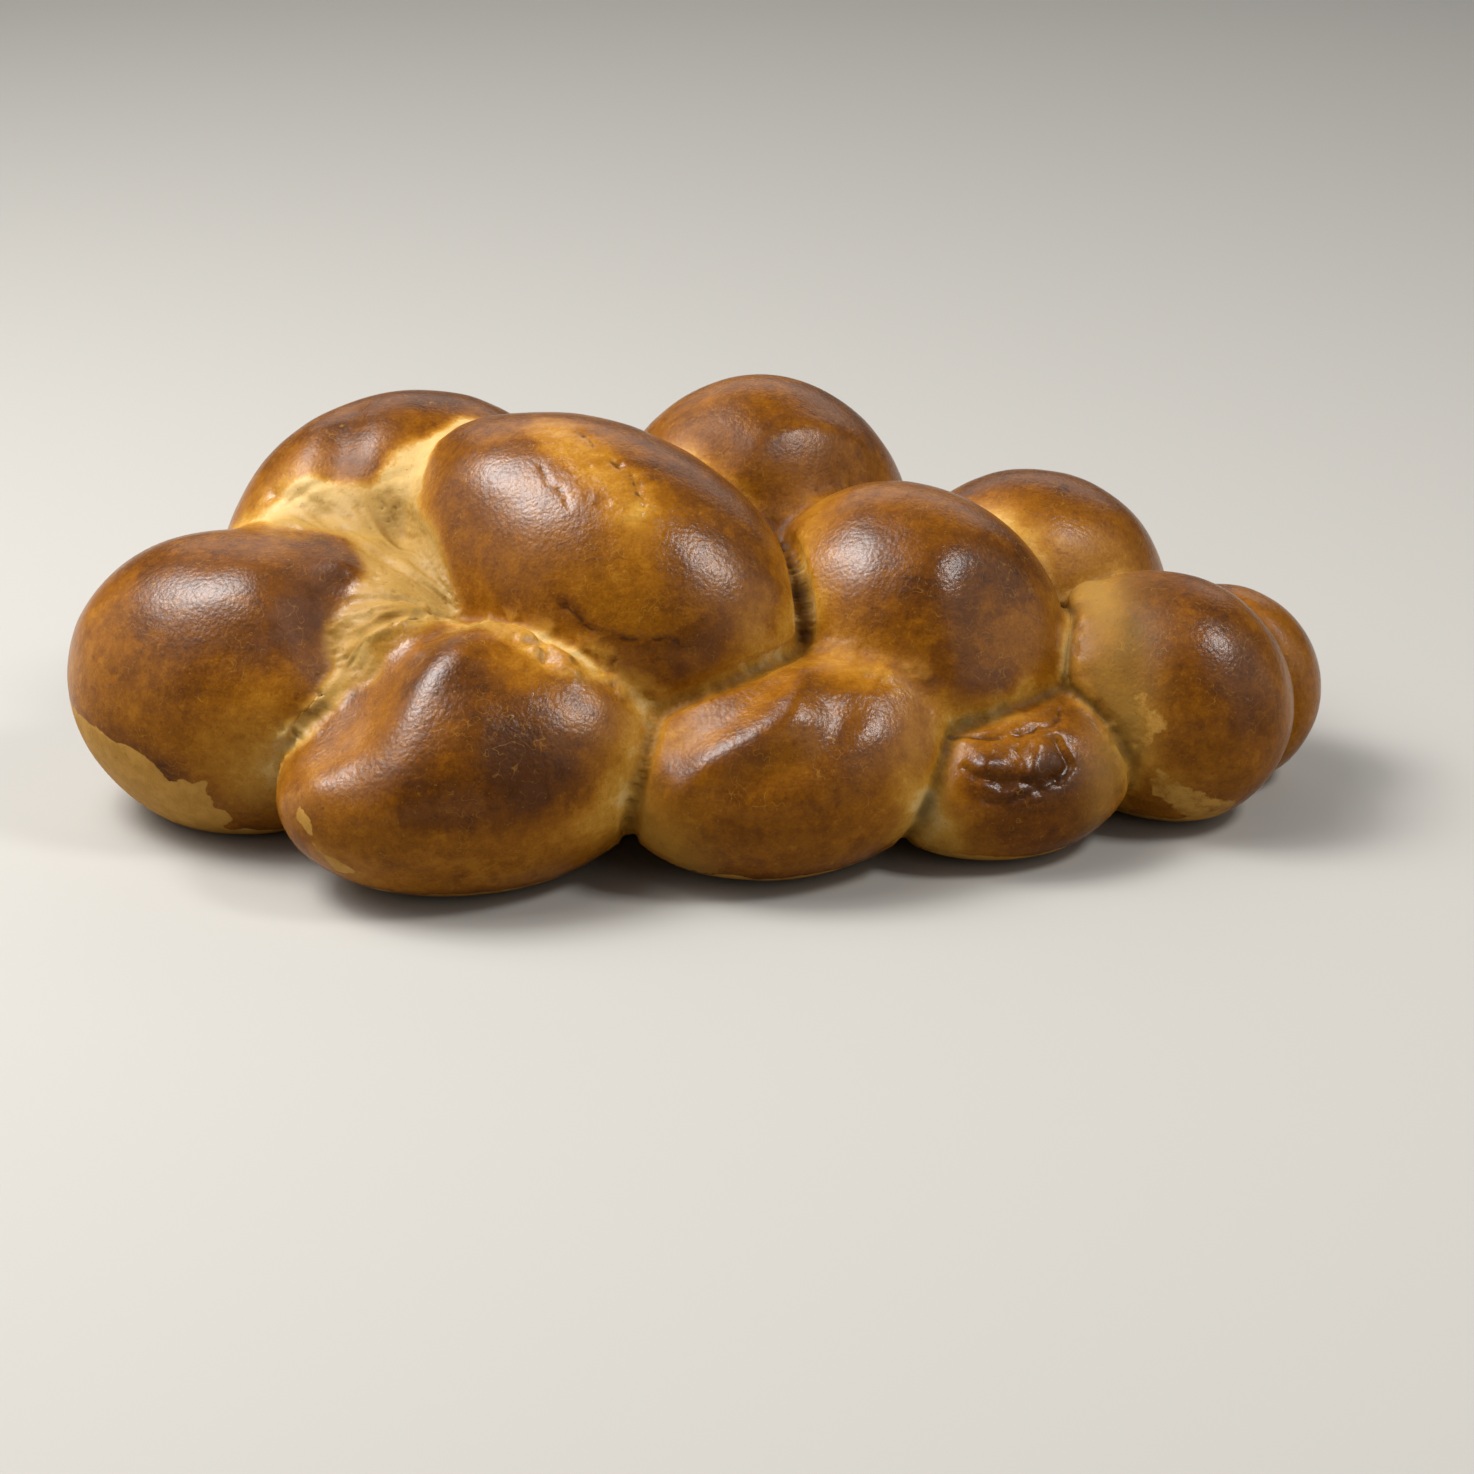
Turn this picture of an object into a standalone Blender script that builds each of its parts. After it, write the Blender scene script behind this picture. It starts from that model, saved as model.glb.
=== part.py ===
"""Braided loaf: a plump bread plait of four strands, baked as one piece.

Metres, +Z up. The loaf lies along X, thick end at -X, tail at +X.
The origin is the bottom centre of the bounding box, on the flat underside.
"""
import math

import bmesh
import bpy
from mathutils import Euler, Matrix, Vector, noise

# Every visible bulge of the plait is one swollen lobe of a strand:
# centre x, y, z, then half length, half width, half height, then heading and pitch in degrees.
LOBES = {
    "end": (-0.139, -0.003, 0.037, 0.048, 0.041, 0.043, -15, 0),
    "stretched_neck": (-0.096, 0.001, 0.045, 0.034, 0.034, 0.027, -25, 0),
    "ridge_left": (-0.037, 0.005, 0.063, 0.062, 0.043, 0.044, -33, -14),
    "ridge_right": (0.048, 0.004, 0.049, 0.046, 0.039, 0.041, -35, -19),
    "tail_front": (0.120, -0.002, 0.032, 0.037, 0.031, 0.036, -35, -10),
    "front_left": (-0.070, -0.043, 0.031, 0.055, 0.036, 0.035, 18, 4),
    "front_middle": (0.014, -0.036, 0.027, 0.048, 0.033, 0.030, 14, 5),
    "front_right": (0.072, -0.027, 0.020, 0.037, 0.027, 0.023, 12, 2),
    "back_left": (-0.095, 0.050, 0.049, 0.056, 0.042, 0.054, 25, 0),
    "back_middle": (0.006, 0.055, 0.051, 0.047, 0.041, 0.055, 20, 0),
    "back_right": (0.084, 0.043, 0.039, 0.042, 0.035, 0.043, 10, 0),
    "tail_back": (0.139, 0.020, 0.026, 0.029, 0.024, 0.030, -35, -15),
}

# Each strand runs through its own lobes and dives under the others between them.
STRANDS = (
    ("end", "front_middle", "back_right"),
    ("back_left", "ridge_right", "tail_front"),
    ("front_left", "back_middle", "tail_front"),
    ("ridge_left", "front_right", "tail_back"),
    ("end", "back_left"),
    ("end", "front_left"),
    ("end", "ridge_left"),
)
DIVE_SHARE = 0.50        # height of a strand at mid dive, as a share of the lobe centres
NECK_SHARE = 0.66        # neck radius as a share of the smaller lobe's half width
NECK_STEPS = 12

CORE_CENTRE = (-0.005, 0.004, 0.022)
CORE_HALF = (0.138, 0.048, 0.028)

SPHERE_SEGMENTS = 40
SPHERE_RINGS = 24

UNEVEN_HEIGHT = 0.0022   # gentle swelling that makes no two lobes alike
UNEVEN_SIZE = 0.045

GRID = 0.0025            # spacing of the first fused skin
ROUNDING = 0.6           # how far each pass relaxes the creases between lobes
ROUNDING_PASSES = 3
TRIANGLES = 5200         # facets kept in the fused skin

SLAB_HALF = 0.40
SLAB_DEEP = 0.08

CRUST = (0.36, 0.155, 0.045, 1.0)


def empty_scene():
    for found in list(bpy.data.objects):
        bpy.data.objects.remove(found, do_unlink=True)


def crust_material():
    made = bpy.data.materials.new("crust")
    made.use_nodes = True
    shader = made.node_tree.nodes["Principled BSDF"]
    shader.inputs["Base Color"].default_value = CRUST
    shader.inputs["Roughness"].default_value = 0.38
    return made


def lobe_matrix(row):
    x, y, z, half_long, half_wide, half_high, heading, pitch = row
    turn = Euler((0.0, -math.radians(pitch), math.radians(heading)), "XYZ").to_matrix().to_4x4()
    size = Matrix.Diagonal((half_long, half_wide, half_high, 1.0))
    return Matrix.Translation((x, y, z)) @ turn @ size


def unit_ball():
    ball = bmesh.new()
    bmesh.ops.create_uvsphere(
        ball, u_segments=SPHERE_SEGMENTS, v_segments=SPHERE_RINGS, radius=1.0
    )
    made = bpy.data.meshes.new("ball")
    ball.to_mesh(made)
    ball.free()
    return made


def add_ellipsoid(shape, ball, matrix):
    old = len(shape.verts)
    shape.from_mesh(ball)
    shape.verts.ensure_lookup_table()
    for corner in shape.verts[old:]:
        corner.co = matrix @ corner.co


def neck_balls(first, second):
    """Overlapping balls along the dive from one lobe of a strand to its next."""
    start = Vector(LOBES[first][:3])
    finish = Vector(LOBES[second][:3])
    radius = NECK_SHARE * min(LOBES[first][4], LOBES[second][4])
    for step in range(1, NECK_STEPS):
        share = step / NECK_STEPS
        place = start.lerp(finish, share)
        dive = math.sin(math.pi * share) * (1.0 - DIVE_SHARE)
        place.z *= 1.0 - dive
        place.z = max(place.z, 0.85 * radius)
        yield place, radius


def swollen(shape):
    """Push the skin in and out by a slow wave, so that the lobes are uneven."""
    shape.normal_update()
    moves = []
    for corner in shape.verts:
        wave = noise.noise(corner.co / UNEVEN_SIZE + Vector((3.1, 7.7, 1.3)))
        moves.append(corner.normal * (UNEVEN_HEIGHT * wave))
    for corner, move in zip(shape.verts, moves):
        corner.co += move


def fused_loaf(home):
    ball = unit_ball()
    shape = bmesh.new()
    for row in LOBES.values():
        add_ellipsoid(shape, ball, lobe_matrix(row))
    for strand in STRANDS:
        for first, second in zip(strand, strand[1:]):
            for place, radius in neck_balls(first, second):
                size = Matrix.Diagonal((radius, radius, radius, 1.0))
                add_ellipsoid(shape, ball, Matrix.Translation(place) @ size)
    core = Matrix.Diagonal((*CORE_HALF, 1.0))
    add_ellipsoid(shape, ball, Matrix.Translation(CORE_CENTRE) @ core)
    skin = bpy.data.meshes.new("lobes")
    shape.to_mesh(skin)
    shape.free()
    made = bpy.data.objects.new("lobes", skin)
    home.objects.link(made)
    fuse = made.modifiers.new("fuse", "REMESH")
    fuse.mode = "VOXEL"
    fuse.voxel_size = GRID
    relax = made.modifiers.new("relax", "SMOOTH")
    relax.factor = ROUNDING
    relax.iterations = ROUNDING_PASSES
    return made


def evaluated_mesh(source):
    bpy.context.view_layer.update()
    shown = source.evaluated_get(bpy.context.evaluated_depsgraph_get())
    return bpy.data.meshes.new_from_object(shown, depsgraph=bpy.context.evaluated_depsgraph_get())


def add_slab(home):
    """The baking sheet's plane: everything under z = 0 is cut away."""
    shape = bmesh.new()
    bmesh.ops.create_cube(
        shape,
        size=1.0,
        matrix=Matrix.Translation((0.0, 0.0, -SLAB_DEEP / 2))
        @ Matrix.Diagonal((2 * SLAB_HALF, 2 * SLAB_HALF, SLAB_DEEP, 1.0)),
    )
    block = bpy.data.meshes.new("slab")
    shape.to_mesh(block)
    shape.free()
    made = bpy.data.objects.new("slab", block)
    made.hide_render = True
    made.display_type = "WIRE"
    home.objects.link(made)
    return made


def recentre(points):
    low = Vector([min(p[axis] for p in points) for axis in range(3)])
    high = Vector([max(p[axis] for p in points) for axis in range(3)])
    return Vector(((low.x + high.x) / 2, (low.y + high.y) / 2, 0.0))


empty_scene()
loaf_home = bpy.data.collections.new("braided_loaf")
cutter_home = bpy.data.collections.new("cutters")
bpy.context.scene.collection.children.link(loaf_home)
bpy.context.scene.collection.children.link(cutter_home)

raw = fused_loaf(loaf_home)
skin = evaluated_mesh(raw)
bpy.data.objects.remove(raw, do_unlink=True)

shape = bmesh.new()
shape.from_mesh(skin)
swollen(shape)
middle = recentre([corner.co for corner in shape.verts if corner.co.z > 0.0])
bmesh.ops.translate(shape, verts=shape.verts, vec=-middle)
bmesh.ops.triangulate(shape, faces=shape.faces)
shape.to_mesh(skin)
total = len(shape.faces)
shape.free()

skin.name = "loaf"
skin.materials.clear()
skin.materials.append(crust_material())
loaf = bpy.data.objects.new("loaf", skin)
loaf_home.objects.link(loaf)

thin = loaf.modifiers.new("facets", "DECIMATE")
thin.ratio = TRIANGLES / total
cut = loaf.modifiers.new("flat_base", "BOOLEAN")
cut.operation = "DIFFERENCE"
cut.solver = "EXACT"
cut.object = add_slab(cutter_home)
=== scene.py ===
"""Braided loaf: a glossy egg-washed plait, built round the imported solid.

The skin is one mesh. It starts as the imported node, is laid on a smooth field made of the
swollen lobes of the four strands, and then gets the folds, cracks, stretch marks and crumbs.
Lengths are metres, and the feature tables are millimetres in the plait's own frame.
"""
import math

import bmesh
import bpy
import numpy as np
from mathutils import Euler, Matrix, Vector


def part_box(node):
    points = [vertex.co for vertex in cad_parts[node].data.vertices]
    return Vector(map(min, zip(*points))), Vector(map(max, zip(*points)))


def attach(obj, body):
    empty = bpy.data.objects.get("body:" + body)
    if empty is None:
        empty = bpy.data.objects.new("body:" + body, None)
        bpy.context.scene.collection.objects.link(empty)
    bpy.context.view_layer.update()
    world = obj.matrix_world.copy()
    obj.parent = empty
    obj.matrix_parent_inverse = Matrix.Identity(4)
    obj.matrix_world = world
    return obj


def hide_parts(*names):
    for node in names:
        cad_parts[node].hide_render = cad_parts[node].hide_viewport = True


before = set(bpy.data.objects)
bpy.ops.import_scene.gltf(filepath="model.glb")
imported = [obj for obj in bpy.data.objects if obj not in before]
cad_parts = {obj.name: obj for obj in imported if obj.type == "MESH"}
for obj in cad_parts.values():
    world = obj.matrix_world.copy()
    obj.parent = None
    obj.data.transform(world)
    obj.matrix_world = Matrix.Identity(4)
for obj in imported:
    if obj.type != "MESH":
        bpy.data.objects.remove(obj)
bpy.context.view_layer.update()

MM = 0.001

# centre x, y, z, half length, half width, half height, then heading and pitch in degrees
LOBES = {
    "end": (-0.139, -0.003, 0.037, 0.048, 0.041, 0.043, -15, 0),
    "neck": (-0.096, 0.001, 0.045, 0.034, 0.034, 0.027, -25, 0),
    "ridge_left": (-0.037, 0.005, 0.063, 0.062, 0.043, 0.044, -33, -14),
    "ridge_right": (0.048, 0.004, 0.049, 0.046, 0.039, 0.041, -35, -19),
    "tail_front": (0.120, -0.002, 0.032, 0.037, 0.031, 0.036, -35, -10),
    "front_left": (-0.070, -0.043, 0.031, 0.055, 0.036, 0.035, 18, 4),
    "front_middle": (0.014, -0.036, 0.027, 0.048, 0.033, 0.030, 14, 5),
    "front_right": (0.072, -0.027, 0.020, 0.037, 0.027, 0.023, 12, 2),
    "back_left": (-0.095, 0.050, 0.049, 0.056, 0.042, 0.054, 25, 0),
    "back_middle": (0.006, 0.055, 0.051, 0.047, 0.041, 0.055, 20, 0),
    "back_right": (0.084, 0.043, 0.039, 0.042, 0.035, 0.043, 10, 0),
    "tail_back": (0.139, 0.020, 0.026, 0.029, 0.024, 0.030, -35, -15),
    "flank": (0.1025, -0.008, 0.045, 0.025, 0.011, 0.0105, -77, -39),
}
NAMES = list(LOBES)
STRANDS = (
    ("end", "front_middle", "back_right"),
    ("back_left", "ridge_right", "tail_front"),
    ("front_left", "back_middle", "tail_front"),
    ("ridge_left", "front_right", "tail_back"),
    ("end", "back_left"),
    ("end", "front_left"),
    ("end", "ridge_left"),
)
DIVE_SHARE = 0.50
NECK_SHARE = 0.48
CORE_CENTRE = np.array((-0.005, 0.004, 0.022))
CORE_HALF = np.array((0.138, 0.048, 0.028))

GRID = 0.00095
TRIANGLES = 192000
RIM_SOFT = 0.0012


# ---------------------------------------------------------------- noise

def hashed(ix, iy, iz, seed):
    h = (ix * 374761393 + iy * 668265263 + iz * 2147483647 + seed * 974634777) & 0xFFFFFFFF
    h = ((h ^ (h >> 13)) * 1274126177) & 0xFFFFFFFF
    h = ((h ^ (h >> 16)) * 2246822519) & 0xFFFFFFFF
    return (h ^ (h >> 15)) / 4294967295.0 * 2.0 - 1.0


def value_noise(points, seed):
    """Smooth noise from -1 to 1 at points of shape (n, 3)."""
    cell = np.floor(points).astype(np.int64)
    part = points - cell
    ease = part * part * part * (part * (part * 6.0 - 15.0) + 10.0)
    total = np.zeros(len(points))
    for dx in (0, 1):
        for dy in (0, 1):
            for dz in (0, 1):
                weight = (
                    (ease[:, 0] if dx else 1.0 - ease[:, 0])
                    * (ease[:, 1] if dy else 1.0 - ease[:, 1])
                    * (ease[:, 2] if dz else 1.0 - ease[:, 2])
                )
                total += weight * hashed(cell[:, 0] + dx, cell[:, 1] + dy, cell[:, 2] + dz, seed)
    return total


def layered(points, size, seed, layers=3, fade=0.5):
    total = np.zeros(len(points))
    weight, reach = 1.0, 0.0
    scaled = points / size
    for layer in range(layers):
        total += weight * value_noise(scaled + 17.3 * layer, seed + layer)
        reach += weight
        weight *= fade
        scaled = scaled * 2.03
    return total / reach


def ease_between(low, high, value):
    share = np.clip((value - low) / (high - low), 0.0, 1.0)
    return share * share * (3.0 - 2.0 * share)


# ---------------------------------------------------------------- field of lobes

def lobe_parts(row):
    turn = Euler((0.0, -math.radians(row[7]), math.radians(row[6])), "XYZ").to_matrix()
    return np.array(row[:3]), np.array(turn), np.array(row[3:6])


PARTS = [lobe_parts(row) for row in LOBES.values()]


def on_lobe(name, along, lean):
    """A place on a lobe: the share along its length, and degrees from its top to its front."""
    centre, turn, half = PARTS[NAMES.index(name)]
    ring = math.sqrt(max(0.0, 1.0 - along * along))
    lean = math.radians(lean)
    return centre + turn @ (half * (along, -ring * math.sin(lean), ring * math.cos(lean)))


def trace(name, spots, steps=4):
    """A path over a lobe through the given places."""
    spots = np.array(spots, dtype=float)
    knots = np.arange(len(spots))
    fine = np.linspace(0, len(spots) - 1, steps * (len(spots) - 1) + 1)
    along = np.interp(fine, knots, spots[:, 0])
    lean = np.interp(fine, knots, spots[:, 1])
    return np.array([on_lobe(name, *place) for place in zip(along, lean)])


def path_distance(points, path):
    """Distance to a polyline, or to a single point."""
    if len(path) == 1:
        return np.linalg.norm(points - path[0], axis=1)
    best = np.full(len(points), 9.0)
    for start, finish in zip(path, path[1:]):
        along = finish - start
        share = np.clip((points - start) @ along / (along @ along), 0.0, 1.0)
        away = np.linalg.norm(points - start - share[:, None] * along, axis=1)
        best = np.minimum(best, away)
    return best


def nearness(points, name, spots, width):
    """1 on a path over a lobe, fading to 0 away from it. The width is in millimetres."""
    return np.exp(-((path_distance(points, trace(name, spots)) / (width * MM)) ** 2))


# Where a lobe swells or is pressed in: millimetres, a width in millimetres, and the place.
SWELLS = {
    "front_left": ((-12.0, 19.0, (-0.70, 12)), (4.0, 12.0, (0.04, 2))),
    "end": ((6.0, 16.0, (0.66, 72)), (3.0, 18.0, (0.40, 28))),
    "ridge_left": ((3.0, 20.0, (-0.58, 38)), (3.5, 15.0, (-0.86, 12))),
    "ridge_right": ((2.0, 12.0, (0.72, 82)), (-4.0, 15.0, (0.66, 16))),
    "front_middle": ((2.5, 12.0, (0.62, 10)),),
    "tail_front": ((3.5, 12.0, (-0.38, 62)),),
}


def plait_shift():
    """Where the plait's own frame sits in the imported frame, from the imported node's box."""
    low = np.full(3, 9.0)
    high = -low
    for centre, turn, half in PARTS:
        reach = np.sqrt(((turn * half) ** 2).sum(axis=1))
        low = np.minimum(low, centre - reach)
        high = np.maximum(high, centre + reach)
    box_low, box_high = (np.array(corner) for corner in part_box("loaf"))
    shift = (box_low + box_high) / 2 - (low + high) / 2
    shift[2] = 0.0
    return shift


def ellipsoid(points, centre, turn, half):
    """Distance to an ellipsoid and its outward direction."""
    local = (points - centre) @ turn / half
    first = np.linalg.norm(local, axis=1) + 1e-9
    steep = local / half
    second = np.linalg.norm(steep, axis=1) + 1e-9
    return first * (first - 1.0) / second, (steep / second[:, None]) @ turn.T


def lobe(points, name):
    value, way = ellipsoid(points, *PARTS[NAMES.index(name)])
    for height, width, place in SWELLS.get(name, ()):
        value = value - height * MM * nearness(points, name, (place,), width)
    return value, way


def capsule(points, start, finish, radius):
    along = finish - start
    share = np.clip((points - start) @ along / (along @ along), 0.0, 1.0)
    away = points - (start + share[:, None] * along)
    distance = np.linalg.norm(away, axis=1) + 1e-9
    return distance - radius, away / distance[:, None]


def neck_pieces():
    for strand in STRANDS:
        for first, second in zip(strand, strand[1:]):
            start = np.array(LOBES[first][:3])
            finish = np.array(LOBES[second][:3])
            radius = NECK_SHARE * min(LOBES[first][4], LOBES[second][4])
            low = (start + finish) / 2
            low[2] = max(low[2] * DIVE_SHARE, 0.85 * radius)
            yield start, low, radius
            yield low, finish, radius


NECKS = list(neck_pieces())


def lobe_distances(points):
    return np.stack([lobe(points, name)[0] for name in NAMES], axis=1)


def field(points, soft):
    """The plait's smooth union, cut by the baking sheet: value and outward direction."""
    found = [lobe(points, name) for name in NAMES]
    found.append(ellipsoid(points, CORE_CENTRE, np.eye(3), CORE_HALF))
    found += [capsule(points, *neck) for neck in NECKS]
    values = np.stack([value for value, _ in found])
    least = values.min(axis=0)
    weights = np.exp(-(values - least) / soft)
    total = weights.sum(axis=0)
    joined = least - soft * np.log(total)
    way = np.einsum("kn,knj->nj", weights / total, np.stack([way for _, way in found]))
    floor = -points[:, 2]
    most = np.maximum(joined, floor)
    up = np.exp((joined - most) / RIM_SOFT)
    down = np.exp((floor - most) / RIM_SOFT)
    value = most + RIM_SOFT * np.log(up + down)
    share = (up / (up + down))[:, None]
    way = way * share + np.array((0.0, 0.0, -1.0)) * (1.0 - share)
    return value, way


def laid_on_field(points, soft, rounds=5):
    for _ in range(rounds):
        value, way = field(points, soft)
        steep = (way * way).sum(axis=1)
        step = value / np.maximum(steep, 0.15)
        points = points - way * np.clip(step, -0.003, 0.003)[:, None]
    return points


# ---------------------------------------------------------------- mesh

def fine_skin():
    """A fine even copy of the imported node, as vertices and faces."""
    source = bpy.data.objects["loaf"]
    made = bpy.data.objects.new("fine", source.data.copy())
    bpy.context.scene.collection.objects.link(made)
    fuse = made.modifiers.new("fuse", "REMESH")
    fuse.mode = "VOXEL"
    fuse.voxel_size = GRID
    bpy.context.view_layer.update()
    shown = made.evaluated_get(bpy.context.evaluated_depsgraph_get())
    mesh = shown.to_mesh()
    count = len(mesh.vertices)
    points = np.empty(count * 3)
    mesh.vertices.foreach_get("co", points)
    corners = np.empty(len(mesh.loops), dtype=np.int64)
    mesh.loops.foreach_get("vertex_index", corners)
    starts = np.empty(len(mesh.polygons), dtype=np.int64)
    mesh.polygons.foreach_get("loop_start", starts)
    shown.to_mesh_clear()
    bpy.data.objects.remove(made, do_unlink=True)
    return points.reshape(-1, 3), corners, starts


def edge_pairs(corners, starts):
    """Every edge once, from the quads' corners."""
    quads = corners.reshape(-1, 4)
    pairs = np.concatenate([quads[:, [0, 1]], quads[:, [1, 2]], quads[:, [2, 3]], quads[:, [3, 0]]])
    pairs.sort(axis=1)
    return np.unique(pairs, axis=0)


def relaxed(values, pairs, rounds, factor=0.5):
    """Neighbour averaging of per-vertex values."""
    values = values.copy()
    flat = values.ndim == 1
    if flat:
        values = values[:, None]
    count = np.bincount(pairs.ravel(), minlength=len(values))[:, None]
    for _ in range(rounds):
        total = np.empty_like(values)
        for axis in range(values.shape[1]):
            total[:, axis] = np.bincount(
                pairs[:, 0], weights=values[pairs[:, 1], axis], minlength=len(values)
            ) + np.bincount(pairs[:, 1], weights=values[pairs[:, 0], axis], minlength=len(values))
        values += factor * (total / count - values)
    return values[:, 0] if flat else values


def quad_normals(points, corners):
    quads = points[corners.reshape(-1, 4)]
    across = np.cross(quads[:, 2] - quads[:, 0], quads[:, 3] - quads[:, 1])
    total = np.zeros_like(points)
    for axis in range(3):
        total[:, axis] = np.bincount(
            corners, weights=np.repeat(across[:, axis], 4), minlength=len(points)
        )
    return total / (np.linalg.norm(total, axis=1, keepdims=True) + 1e-12)


# ---------------------------------------------------------------- features

# How two lobes meet: softness of the crease and reach of the lighter crust beside it (both in
# millimetres), how light that crust is on the first and on the second lobe, how much painted shade
# darkens the crease itself (this also sets how deep it is cut), and how torn its lips are.
MEET_USUAL = (1.1, 8.0, 0.14, 0.14, 0.35, 0.25)
MEETS = {
    ("end", "front_left"): (1.3, 9.0, 0.35, 0.12, 0.25, 0.9),
    ("end", "back_left"): (3.0, 10.0, 0.08, 0.40, 0.0, 0.15),
    ("end", "ridge_left"): (1.6, 8.0, 0.30, 0.46, 0.10, 0.1),
    ("ridge_left", "front_left"): (1.4, 11.0, 0.08, 0.42, 0.2, 0.7),
    ("ridge_left", "front_middle"): (0.7, 6.0, 0.22, 0.10, 1.0, 0.25),
    ("ridge_left", "ridge_right"): (0.5, 6.0, 0.10, 0.12, 1.6, 0.2),
    ("ridge_left", "back_left"): (1.2, 9.0, 0.42, 0.45, 0.1, 0.2),
    ("ridge_left", "back_middle"): (0.7, 7.0, 0.03, 0.26, 0.3, 0.1),
    ("ridge_right", "back_middle"): (0.9, 6.0, 0.18, 0.12, 0.3, 0.2),
    ("ridge_right", "front_middle"): (2.6, 11.0, 0.24, 0.22, 0.0, 0.4),
    ("ridge_right", "front_right"): (0.8, 8.0, 0.34, 0.10, 0.75, 0.4),
    ("ridge_right", "tail_front"): (1.2, 7.0, 0.42, 0.02, 0.7, 0.5),
    ("ridge_right", "back_right"): (1.0, 9.0, 0.06, 0.30, 0.3, 0.2),
    ("front_left", "front_middle"): (0.7, 9.0, 0.30, 0.22, 0.95, 0.1),
    ("front_middle", "front_right"): (1.4, 8.0, 0.24, 0.24, 0.8, 0.0),
    ("front_right", "tail_front"): (0.9, 8.0, 0.26, 0.10, 0.8, 0.6),
    ("back_right", "tail_front"): (1.0, 8.0, 0.30, 0.14, 0.6, 0.3),
    ("tail_back", "tail_front"): (0.8, 5.0, 0.16, 0.04, 0.5, 0.1),
}
SOFT, REACH, LIGHT, OTHER_LIGHT, DARK, TEAR = range(6)
SAME_STRAND = {"neck": "end", "flank": "tail_front"}

# Extra softness where the crust is drawn out: millimetres, reach, lobe and path.
DRAWN = (
    (6.0, 20.0, "neck", ((-0.6, 20), (0.2, 30), (0.5, 60))),
    (3.0, 12.0, "tail_front", ((-0.5, 50), (-0.3, 80))),
    (3.0, 12.0, "ridge_right", ((-0.1, 100), (0.3, 105))),
    (2.0, 8.0, "front_right", ((-0.72, 34),)),
)

# Ridges and hollows: a height and a width in millimetres, then the lobe and the path over it.
FOLDS = (
    (-0.7, 9.0, "front_left", ((0.02, 8), (0.08, 30), (0.10, 52), (0.06, 72))),
    (1.9, 8.0, "front_left", ((-0.86, 50), (-0.64, 36), (-0.36, 25), (-0.10, 10))),
    (1.2, 10.0, "front_left", ((0.52, 24), (0.56, 44), (0.54, 60))),
    (1.5, 2.2, "front_left", ((-0.44, 14), (-0.62, 20), (-0.78, 25), (-0.90, 33))),
    (-1.4, 1.5, "front_left", ((-0.40, 19), (-0.60, 26), (-0.76, 32), (-0.88, 42))),
    (1.7, 5.2, "front_middle", ((-0.70, 62), (-0.52, 52), (-0.30, 46), (-0.07, 36), (0.08, 14))),
    (-1.3, 6.0, "front_middle", ((-0.66, 32), (-0.40, 27), (-0.14, 15))),
    (-1.6, 6.0, "front_middle", ((-0.30, 66), (0.00, 60), (0.22, 42))),
    (1.6, 7.0, "tail_front", ((-0.24, 64), (-0.10, 80), (0.00, 100))),
    (-1.0, 4.6, "tail_front", ((-0.16, 40), (-0.04, 50), (0.08, 64), (0.20, 84), (0.34, 110))),
    (-1.8, 6.0, "back_left", ((-0.26, -4), (-0.40, 14), (-0.50, 30), (-0.55, 42))),
    (0.6, 7.0, "back_left", ((-0.50, 0), (-0.62, 18), (-0.66, 34))),
    (-1.3, 2.2, "back_left", ((-0.76, 18), (-0.72, 32), (-0.66, 44))),
    (-1.3, 2.2, "back_left", ((-0.68, 28), (-0.60, 44))),
    (-1.1, 2.0, "back_left", ((-0.84, 28), (-0.80, 46))),
    (1.0, 5.0, "back_middle", ((-0.34, 44), (-0.10, 34), (0.16, 31), (0.50, 33))),
    (-1.2, 6.5, "back_middle", ((-0.30, 56), (0.00, 52), (0.34, 50))),
    (1.3, 2.6, "front_right", ((-0.27, 53),)),
    (-1.5, 1.2, "front_right", ((-0.40, 52), (-0.34, 59), (-0.25, 62))),
    (1.6, 2.8, "front_right", ((0.08, 58), (0.16, 46))),
    (-1.7, 1.3, "front_right", ((0.32, 40), (0.38, 58), (0.28, 68))),
    (-1.4, 1.5, "front_right", ((-0.20, 64), (-0.04, 66), (0.14, 70), (0.24, 66))),
    (-1.1, 1.0, "front_right", ((-0.30, 77), (-0.15, 79), (0.00, 76), (0.12, 73))),
    (-0.8, 0.9, "front_right", ((-0.18, 69), (-0.08, 70))),
    (-0.8, 0.9, "front_right", ((-0.02, 46), (0.04, 54), (0.02, 60))),
    (2.0, 2.6, "front_left", ((0.20, -6), (0.27, 5))),
    (2.0, 2.0, "front_left", ((0.31, 13),)),
    (1.6, 2.2, "front_left", ((0.39, 22), (0.46, 29))),
    (-1.8, 1.5, "front_left", ((0.22, 6),)),
    (-1.8, 1.4, "front_left", ((0.34, 20), (0.38, 22))),
    (2.2, 2.4, "front_left", ((0.13, -16), (0.18, -12))),
    (1.8, 1.8, "front_left", ((0.26, -6), (0.33, 4))),
    (-1.6, 1.3, "front_left", ((0.28, 8), (0.33, 10))),
    (1.8, 1.8, "front_left", ((0.40, 12), (0.45, 20))),
)
CRACKS = (
    (-0.45, 0.7, "ridge_left", ((-0.60, 8), (-0.46, 17), (-0.34, 27), (-0.18, 33), (0.02, 38))),
    (-0.7, 0.9, "ridge_left", ((-0.24, 6), (-0.08, 12), (0.10, 14), (0.22, 19))),
    (-0.6, 0.8, "ridge_left", ((0.17, 71), (0.34, 74), (0.50, 71), (0.68, 66))),
    (-1.1, 1.1, "front_right", ((-0.50, 26), (-0.20, 34), (0.08, 33), (0.30, 28), (0.44, 14))),
)
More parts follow.
